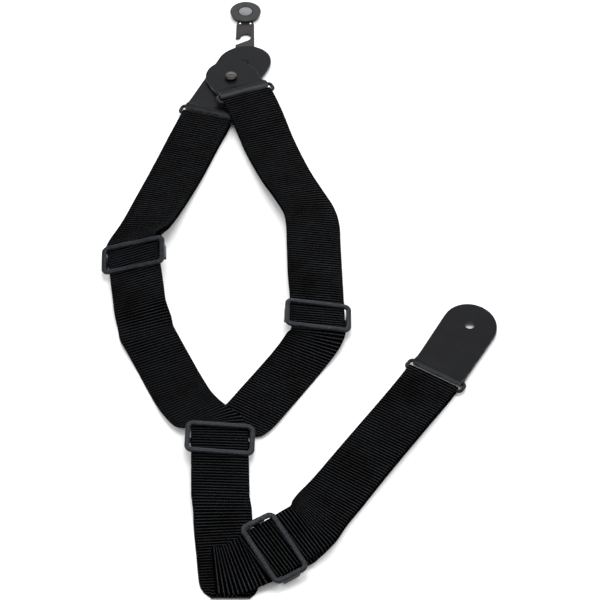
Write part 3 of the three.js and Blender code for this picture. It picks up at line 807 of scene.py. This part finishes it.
def tabPiece(side):
    f, spec = leather, tabs[side]
    place = placeOf(side + "Ring")
    tip = place.inverted() @ Vector((*spec["tip"].xy, places[side + "Ring"][2]))
    fold, radius = f["fold"], f["width"] / 2

    def level(y):
        t = min(max((y - fold - 2) / f["slope"], 0), 1)
        return -spec["drop"] * t * t * (3 - 2 * t)

    def sideways(y):
        return tip.x * max(0, y - fold) / (tip.y - fold)

    half = []  # from the round end to the fold: distance from the bar, width
    for i in range(f["tipRows"], -1, -1):
        a = math.pi / 2 * i / f["tipRows"]
        half.append((tip.y + radius * math.sin(a), max(f["width"] * math.cos(a), 0.8)))
    steps = 7
    for i in range(1, steps + 1):
        y = tip.y + (fold + f["start"] - tip.y) * i / steps
        half.append((y, f["width"] + (f["waist"] - f["width"]) * i / steps))
    rows = [(y, f["layer"], width) for y, width in half]
    turn = [(fold + 5.5, 1.25), (fold + 2.2, f["round"] * 0.82)]
    rows += [(y, z, f["waist"]) for y, z in turn]
    for i in range(9):
        a = math.pi / 2 + math.pi * i / 8
        rows.append((fold + f["round"] * math.cos(a), f["round"] * math.sin(a), f["waist"]))
    rows += [(y, -z, f["waist"]) for y, z in reversed(turn)]
    rows += [(y, -f["layer"], width) for y, width in reversed(half)]
    stations = [(Vector((sideways(y), y, z + level(y))), Vector((1, 0, 0)), width)
                for y, z, width in rows]
    length = sum((b[0] - a[0]).length for a, b in zip(stations, stations[1:]))
    piece = layStrip(side + "LeatherTab", stations, f["thick"], 0.9, f["edge"], flat=24,
                     arc=3, origin=length / 2)
    for point, hole in spec["holes"]:
        at = place.inverted() @ Vector((*point.xy, places[side + "Ring"][2]))
        cutAway(piece, cylinderAt(hole, -12, 8, at.x, at.y))
    settle(piece, place)
    shade(piece, 40)
    return finished(piece, "strapLeather", spec["body"], side + "_tab")


for side in tabs:
    tabPiece(side)
print("leather folded")

# hook: notched plate on a peg, with a round grip disc held by two pins
hook = {"half": 9.8, "neck": 8.4, "low": 0.9, "high": 2.6, "reach": 92, "disc": 83,
        "waist": 34, "shoulder": (63, 68), "pins": (5.4, 65.4), "pinHole": 1, "pegHole": 2.3,
        "soften": 0.35, "cut": (-2, 6)}
notch = {"seat": (0.7, 43.8, 5.6), "mouth": ((3.96, 39.25), (-13, 29.4), (-13, 40), (-4.6, 43.5)),
         "cut": (-2.2, 6.2)}


def prismPiece(corners, low, high):
    # A box whose upright edges move to the corners, in order round. A moved edge is set aside
    # so that the next pick doesn't catch it, and then all of them come back together.
    box = boxPiece((-1, -1, low), (1, 1, high))
    spots = dict(zip(((1, -1), (-1, -1), (-1, 1), (1, 1)), corners))
    aside = 100
    editMode(box)
    for (sx, sy), (x, y) in spots.items():
        pick(box, "VERT", lambda v, data: abs(v.co.x - sx) < 1e-3 and abs(v.co.y - sy) < 1e-3)
        bpy.ops.transform.translate(value=(x - sx + aside, y - sy, 0))
    bpy.ops.mesh.select_all(action="SELECT")
    bpy.ops.transform.translate(value=(-aside, 0, 0))
    bpy.ops.mesh.normals_make_consistent(inside=False)
    bpy.ops.object.mode_set(mode="OBJECT")
    return box


def platePiece():
    f = hook
    plate = boxPiece((-f["half"], -f["half"], f["low"]), (f["half"], f["reach"], f["high"]))
    editMode(plate)
    for y in (f["waist"], *f["shoulder"]):
        bpy.ops.mesh.select_all(action="SELECT")
        bpy.ops.mesh.bisect(plane_co=(0, y, 0), plane_no=(0, 1, 0))
    slope, neck = f["shoulder"]
    for y, share in ((slope, (f["half"] - 0.6) / f["half"]), (neck, f["neck"] / f["half"]),
                     (f["reach"], f["neck"] / f["half"])):
        pick(plate, "VERT", lambda v, data: abs(v.co.y - y) < 1e-3)
        bpy.ops.transform.resize(value=(share, 1, 1))
    for y, radius in ((-f["half"], f["half"] - 0.05), (f["reach"], f["neck"] - 0.05)):
        pick(plate, "EDGE", lambda e, data: upright(e, data)
             and abs(data.vertices[e.vertices[0]].co.y - y) < 1e-3)
        bpy.ops.mesh.bevel(offset=radius, segments=12, affect="EDGES")
    bpy.ops.object.mode_set(mode="OBJECT")
    x, y, radius = notch["seat"]
    cutAway(plate, cylinderAt(radius, *f["cut"], x, y))
    cutAway(plate, prismPiece(notch["mouth"], *notch["cut"]))
    cutAway(plate, cylinderAt(f["pegHole"], *f["cut"]))
    for side in (-1, 1):
        cutAway(plate, cylinderAt(f["pinHole"], *f["cut"], side * f["pins"][0], f["pins"][1], 16))
    rounded(plate, f["soften"], 2)
    return named(plate, "notchedPlate")


hookPlace = Matrix.Translation(peg)
discPlace = Matrix.Translation(peg + Vector((0, hook["disc"], 0)))
piece = platePiece()
settle(piece, hookPlace)
shade(piece, 30)
finished(piece, "platePaint", "hook", "hook_plate")

disc = {"radius": 16.3, "foot": 14.4, "high": 5.2, "dish": 7.3, "wall": 0.5, "deep": 0.9,
        "slot": 8.8, "slotHigh": 2.9, "slotReach": 9.4, "soften": 0.9}
inlay = {"radius": 7, "sunk": 0.85, "proud": 0.15, "soften": 0.35}


def discPiece():
    f = disc
    body = cylinderAt(f["radius"], 0, f["high"], sides=96)
    editMode(body)
    pick(body, "FACE", lambda face, data: face.normal.z > 0.9)
    bpy.ops.mesh.inset(thickness=f["radius"] - f["dish"] - f["wall"], depth=0)
    bpy.ops.mesh.inset(thickness=f["wall"], depth=0)
    bpy.ops.transform.translate(value=(0, 0, -f["deep"]))
    pick(body, "FACE", lambda face, data: face.normal.z < -0.9)
    bpy.ops.transform.resize(value=(f["foot"] / f["radius"], f["foot"] / f["radius"], 1),
                             center_override=(0, 0, 0))
    bpy.ops.object.mode_set(mode="OBJECT")
    cutAway(body, boxPiece((-f["slot"], -f["radius"] - 1, -1),
                           (f["slot"], f["slotReach"], f["slotHigh"])))
    rounded(body, f["soften"], 4, 30)
    return named(body, "gripDisc")


piece = discPiece()
settle(piece, discPlace)
shade(piece, 35)
finished(piece, "discRubber", "hook", "grip_disc")

piece = named(cylinderAt(inlay["radius"], disc["high"] - inlay["sunk"],
                         disc["high"] + inlay["proud"], sides=72), "discInlay")
rounded(piece, inlay["soften"], 3)
settle(piece, discPlace)
shade(piece, 35)
finished(piece, "inlayEnamel", "hook", "disc_inlay")

# small turned parts: a radius at each height, as stacked rings of one cylinder
def turnedPiece(name, profile, sides=40):
    low, high = profile[0][1], profile[-1][1]
    piece = cylinderAt(1, low, high, sides=sides)
    editMode(piece)
    for radius, z in profile[1:-1]:
        bpy.ops.mesh.select_all(action="SELECT")
        bpy.ops.mesh.bisect(plane_co=(0, 0, z), plane_no=(0, 0, 1))
    for radius, z in profile:
        pick(piece, "VERT", lambda v, data: abs(v.co.z - z) < 1e-4)
        bpy.ops.transform.resize(value=(radius, radius, 1), center_override=(0, 0, 0))
    bpy.ops.object.mode_set(mode="OBJECT")
    return named(piece, name)


screwSlot = ((-4.2, -0.45, 12.1), (4.2, 0.45, 13.5))
pinProfile = [(1.2, 0.2), (1.4, 0.3), (1.4, 0.6), (0.7, 0.601), (0.7, 2.899), (1.3, 2.9),
              (1.3, 3.3), (1, 3.7), (0.4, 3.9)]
turnedParts = {
    "studPost": ([(5.2, 1.4), (5.8, 1.7), (6, 2.0), (6, 2.599), (2.2, 2.6), (2.2, 10.7)],
                 Matrix.Translation(stud), "darkNickel", "harness", "stud_post"),
    "studCap": ([(3.7, 9.5), (4, 9.7), (4, 10.0), (4.4, 10.5), (6.1, 10.8), (6.4, 11.2),
                 (6.4, 11.7), (6.1, 12.1), (5.3, 12.4), (3, 12.65), (1, 12.7)],
                Matrix.Translation(stud), "darkNickel", "harness", "stud_cap"),
    "hookPeg": ([(3.5, 0), (3.8, 0.15), (3.8, 0.599), (2, 0.6), (2, 2.9), (3, 2.901), (3, 4.7),
                 (3.9, 4.9), (4.1, 5.2), (4, 5.6), (3.3, 5.9), (1, 6)],
                hookPlace, "blackPeg", "hook", "hook_peg"),
}
for name, (profile, place, material, body, node) in turnedParts.items():
    piece = turnedPiece(name, profile)
    if name == "studCap":
        cutAway(piece, boxPiece(*screwSlot))
    settle(piece, place)
    shade(piece, 30)
    finished(piece, material, body, node)
for side, sign in (("Left", -1), ("Right", 1)):
    piece = turnedPiece("discPin" + side, pinProfile, 24)
    settle(piece, hookPlace @ Matrix.Translation((sign * hook["pins"][0], hook["pins"][1], 0)))
    shade(piece, 50)
    finished(piece, "polishedSteel", "hook", "disc_pin_" + side.lower())
print("hook built")

# floor, light and camera
paper = {"size": 30, "height": -0.0004, "dark": (0.90, 0.90, 0.90), "light": (0.93, 0.93, 0.93),
         "roughness": 0.9, "specular": 0.1}


def floorPiece():
    f = paper
    clearSelection()
    bpy.ops.mesh.primitive_plane_add(size=f["size"], location=(0, 0, f["height"]))
    floor = bpy.context.active_object
    floor.name = "paleFloor"
    material = bpy.data.materials.new("palePaper")
    material.use_nodes = True
    tree = material.node_tree
    shader = tree.nodes["Principled BSDF"]
    shader.inputs["Specular IOR Level"].default_value = f["specular"]
    tone = mixColour(tree, noiseNode(tree, objectPlace(tree), 3, 2), f["dark"], f["light"])
    wire(tree, tone, shader.inputs["Base Color"])
    shader.inputs["Roughness"].default_value = f["roughness"]
    floor.data.materials.append(material)


skyStrength = 0.8
lamps = {
    "topSoft": {"at": (0.1, 0.5, 2.4), "aim": (0, 0, 0), "size": 1.8, "power": 34},
    "leftSoft": {"at": (-2.0, -0.6, 1.6), "aim": (0, 0, 0), "size": 1.6, "power": 16},
    "rightSoft": {"at": (2.0, 0.3, 1.5), "aim": (0, 0, 0), "size": 1.6, "power": 16},
    "backSoft": {"at": (0.0, 2.2, 1.5), "aim": (0, 0, 0), "size": 1.6, "power": 26},
}


def aimed(piece, at, aim):
    piece.location = at
    direction = Vector(aim) - Vector(at)
    piece.rotation_euler = direction.to_track_quat("-Z", "Y").to_euler()


def studio():
    scene = bpy.context.scene
    world = scene.world or bpy.data.worlds.new("studioWorld")
    scene.world = world
    world.use_nodes = True
    background = world.node_tree.nodes["Background"]
    background.inputs["Color"].default_value = (1, 1, 1, 1)
    background.inputs["Strength"].default_value = skyStrength
    for name, spec in lamps.items():
        data = bpy.data.lights.new(name, "AREA")
        data.shape, data.size, data.energy = "DISK", spec["size"], spec["power"]
        lamp = bpy.data.objects.new(name, data)
        scene.collection.objects.link(lamp)
        aimed(lamp, spec["at"], spec["aim"])
    scene.view_settings.view_transform = "Standard"


view = {"at": (0.0015, -1.7607, 1.749), "down": 45.5, "lens": 156, "sensor": 36,
        "near": 0.05, "far": 60}


def cameraPiece():
    data = bpy.data.cameras.new("viewCamera")
    data.lens, data.sensor_width = view["lens"], view["sensor"]
    data.clip_start, data.clip_end = view["near"], view["far"]
    camera = bpy.data.objects.new("viewCamera", data)
    bpy.context.scene.collection.objects.link(camera)
    camera.location = view["at"]
    camera.rotation_euler = (math.radians(90 - view["down"]), 0, 0)
    bpy.context.scene.camera = camera


floorPiece()
studio()
cameraPiece()
print("studio set")
